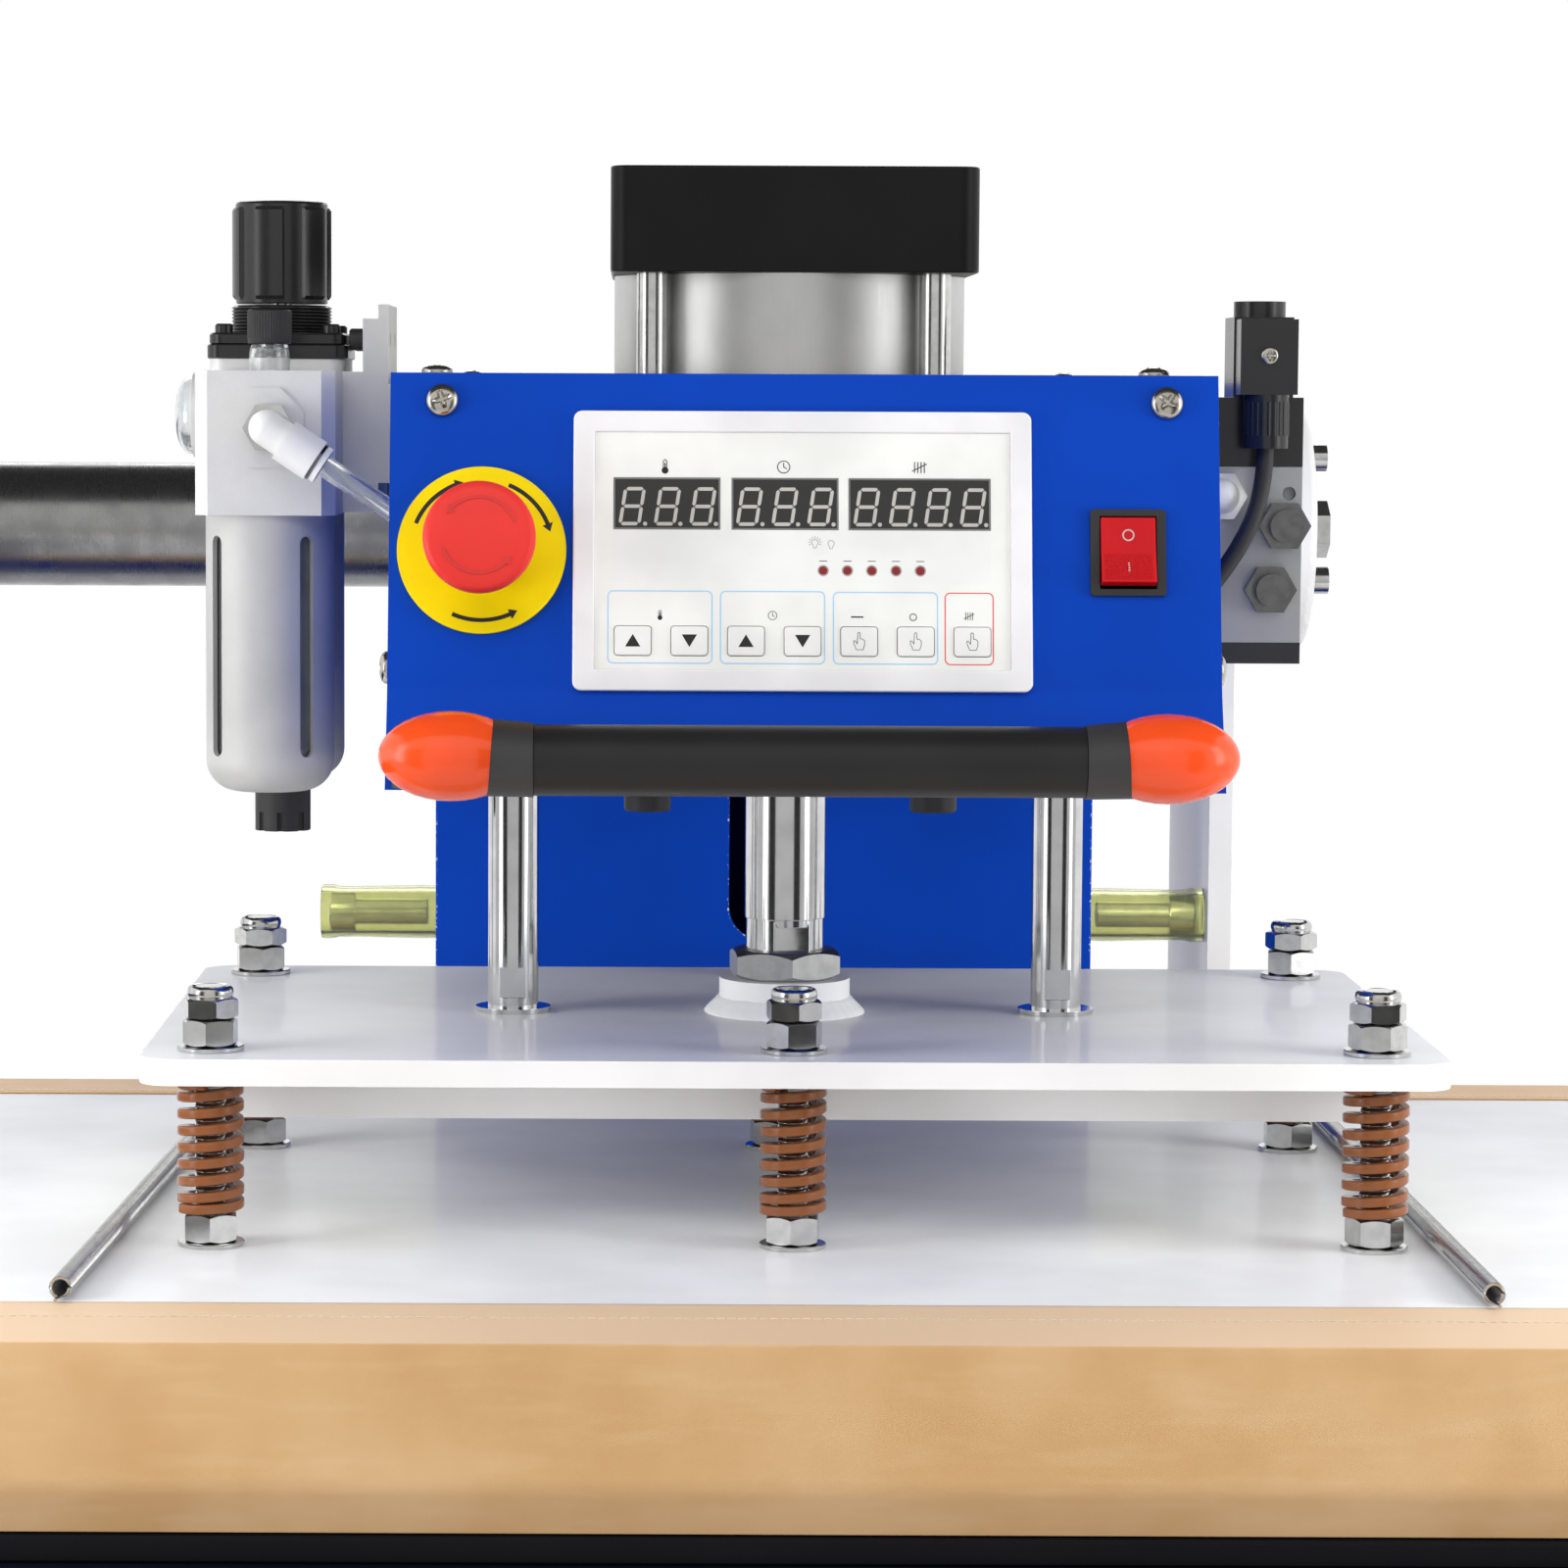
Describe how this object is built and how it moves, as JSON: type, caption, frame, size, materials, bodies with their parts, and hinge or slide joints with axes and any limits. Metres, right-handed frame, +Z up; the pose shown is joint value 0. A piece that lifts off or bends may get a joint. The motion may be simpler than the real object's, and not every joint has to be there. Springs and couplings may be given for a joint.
{
  "type": "dual station heat press",
  "caption": "Floor-standing pneumatic heat press: a heated platen under a head that slides along a shaft between two work tables.",
  "frame": {"origin": "on the floor, under the middle of the base frame", "axes": "+X to the operator's right along the guide shafts, +Y to the back of the machine, +Z up"},
  "size_m": [1.67, 0.8138, 1.301],
  "materials": {
    "frame_blue": "satin blue enamel",
    "table_blue": "satin blue enamel",
    "column_white": "gloss white enamel",
    "head_blue": "satin blue powder coat",
    "cover_cream": "satin cream paint",
    "plate_white": "gloss white enamel",
    "platen_white": "gloss white enamel",
    "black_plate": "black paint",
    "cap_dark": "dark anodised, ground",
    "barrel_grey": "drawn",
    "shaft_steel": "ground and polished",
    "rod_chrome": "hard chrome",
    "zinc_steel": "bright zinc plate",
    "screw_steel": "nickel plate",
    "bush_bronze": "turned bronze",
    "heater_alu": "machined",
    "unit_alu": "die cast, bead blasted",
    "guard_alu": "grey coated",
    "clear_bowl": "clear polycarbonate",
    "clear_hose": "clear polyurethane",
    "valve_alu": "extruded, matt",
    "black_plastic": "black moulded",
    "black_gloss": "black moulded",
    "white_plastic": "white moulded",
    "bezel_white": "white moulded",
    "overlay_film": "printed membrane film",
    "key_film": "embossed membrane key",
    "ring_yellow": "yellow moulded",
    "mushroom_red": "red moulded",
    "rocker_red": "red moulded",
    "cap_orange": "orange moulded",
    "urethane": "cast urethane",
    "silicone": "black silicone foam",
    "foot_rubber": "black rubber and zinc screw",
    "ptfe_cloth": "coated glass cloth, brown",
    "spring_brown": "brown painted die spring",
    "spring_wire": "zinc wire"
  },
  "bodies": {
    "base": {"base_frame": "frame_blue", "levelling_feet": "foot_rubber", "lower_tables": "table_blue", "silicone_pads": "silicone", "left_column": "column_white", "right_column": "column_white", "guide_shafts": "shaft_steel", "shaft_end_caps": "column_white", "column_fasteners": "zinc_steel"},
    "carriage": {"carriage_body": "head_blue", "shaft_bushes": "bush_bronze", "head_shell": "head_blue", "front_panel": "head_blue", "top_cover": "cover_cream", "base_plate": "black_plate", "carriage_fasteners": "screw_steel", "control_bezel": "bezel_white", "control_overlay": "overlay_film", "estop_ring": "ring_yellow", "switch_bezel": "black_plastic", "handle_bar": "black_gloss", "handle_brackets": "black_plastic", "handle_caps": "cap_orange", "cylinder_caps": "cap_dark", "cylinder_barrel": "barrel_grey", "tie_rods": "zinc_steel", "air_bracket": "unit_alu", "air_bodies": "unit_alu", "bowl_guards": "guard_alu", "filter_bowls": "clear_bowl", "pressure_gauge": "unit_alu", "fittings": "white_plastic", "air_hose": "clear_hose", "valve_body": "valve_alu", "valve_coil": "black_plastic", "valve_cable": "black_plastic", "bumper_sleeves": "urethane"},
    "estop_button": {"estop_stem": "black_plastic"},
    "estop_head": {"estop_mushroom": "mushroom_red"},
    "rocker": {"power_rocker": "rocker_red"},
    "regulator_screw": {"regulator_spindle": "zinc_steel"},
    "regulator_grip": {"regulator_knob": "black_gloss"},
    "drip_screw": {"drip_cap": "black_plastic"},
    "drain_grip": {"filter_drain": "black_plastic"},
    "ram": {"piston_rod": "rod_chrome", "guide_rods": "rod_chrome", "pressure_plate": "plate_white", "die_springs": "spring_brown"},
    "platen": {"platen_housing": "platen_white", "heater_plate": "heater_alu", "cloth_cover": "ptfe_cloth", "tension_springs": "spring_wire", "float_studs": "zinc_steel"},
    "key_1_pad": {"key_1": "key_film"},
    "key_2_pad": {"key_2": "key_film"},
    "key_3_pad": {"key_3": "key_film"},
    "key_4_pad": {"key_4": "key_film"},
    "key_5_pad": {"key_5": "key_film"},
    "key_6_pad": {"key_6": "key_film"},
    "key_7_pad": {"key_7": "key_film"}
  },
  "joints": [
    {"name": "carriage_slide", "type": "slide", "parent": "base", "child": "carriage", "axis": [1, 0, 0], "range_m": [-0.84, 0]},
    {"name": "press_stroke", "type": "slide", "parent": "carriage", "child": "ram", "axis": [0, 0, 1], "range_m": [0, 0.06]},
    {"name": "platen_float", "type": "slide", "parent": "ram", "child": "platen", "axis": [0, 0, 1], "range_m": [0, 0.008], "stiffness_N_per_m": 30000, "springref_m": -0.002, "deforming": ["die_springs"]},
    {"name": "estop_push", "type": "slide", "parent": "carriage", "child": "estop_button", "axis": [0, 0.9781, -0.2079], "range_m": [0, 0.005], "stiffness_N_per_m": 800},
    {"name": "estop_twist", "type": "hinge", "parent": "estop_button", "child": "estop_head", "pos_m": [0.3055, -0.28037, 1.15911], "axis": [0, -0.9781, 0.2079], "range_deg": [-35, 35], "stiffness_Nm_per_rad": 0.2},
    {"name": "power_switch", "type": "hinge", "parent": "carriage", "child": "rocker", "pos_m": [0.5346, -0.27988, 1.159], "axis": [1, 0, 0], "range_deg": [0, 18]},
    {"name": "regulator_turn", "type": "hinge", "parent": "carriage", "child": "regulator_screw", "pos_m": [0.22, -0.087, 1.246], "axis": [0, 0, 1], "range_deg": [-720, 720]},
    {"name": "regulator_lift", "type": "slide", "parent": "regulator_screw", "child": "regulator_grip", "axis": [0, 0, 1], "range_m": [0, 0.003]},
    {"name": "drip_adjust", "type": "hinge", "parent": "carriage", "child": "drip_screw", "pos_m": [0.22, -0.149, 1.236], "axis": [0, 0, 1], "range_deg": [-720, 720]},
    {"name": "drain_turn", "type": "hinge", "parent": "carriage", "child": "drain_grip", "pos_m": [0.22, -0.087, 1.046], "axis": [0, 0, 1], "range_deg": [0, 90]},
    {"name": "key_1_press", "type": "slide", "parent": "carriage", "child": "key_1_pad", "axis": [0, 0.9781, -0.2079], "range_m": [0, 0.0005], "stiffness_N_per_m": 400},
    {"name": "key_2_press", "type": "slide", "parent": "carriage", "child": "key_2_pad", "axis": [0, 0.9781, -0.2079], "range_m": [0, 0.0005], "stiffness_N_per_m": 400},
    {"name": "key_3_press", "type": "slide", "parent": "carriage", "child": "key_3_pad", "axis": [0, 0.9781, -0.2079], "range_m": [0, 0.0005], "stiffness_N_per_m": 400},
    {"name": "key_4_press", "type": "slide", "parent": "carriage", "child": "key_4_pad", "axis": [0, 0.9781, -0.2079], "range_m": [0, 0.0005], "stiffness_N_per_m": 400},
    {"name": "key_5_press", "type": "slide", "parent": "carriage", "child": "key_5_pad", "axis": [0, 0.9781, -0.2079], "range_m": [0, 0.0005], "stiffness_N_per_m": 400},
    {"name": "key_6_press", "type": "slide", "parent": "carriage", "child": "key_6_pad", "axis": [0, 0.9781, -0.2079], "range_m": [0, 0.0005], "stiffness_N_per_m": 400},
    {"name": "key_7_press", "type": "slide", "parent": "carriage", "child": "key_7_pad", "axis": [0, 0.9781, -0.2079], "range_m": [0, 0.0005], "stiffness_N_per_m": 400}
  ]
}
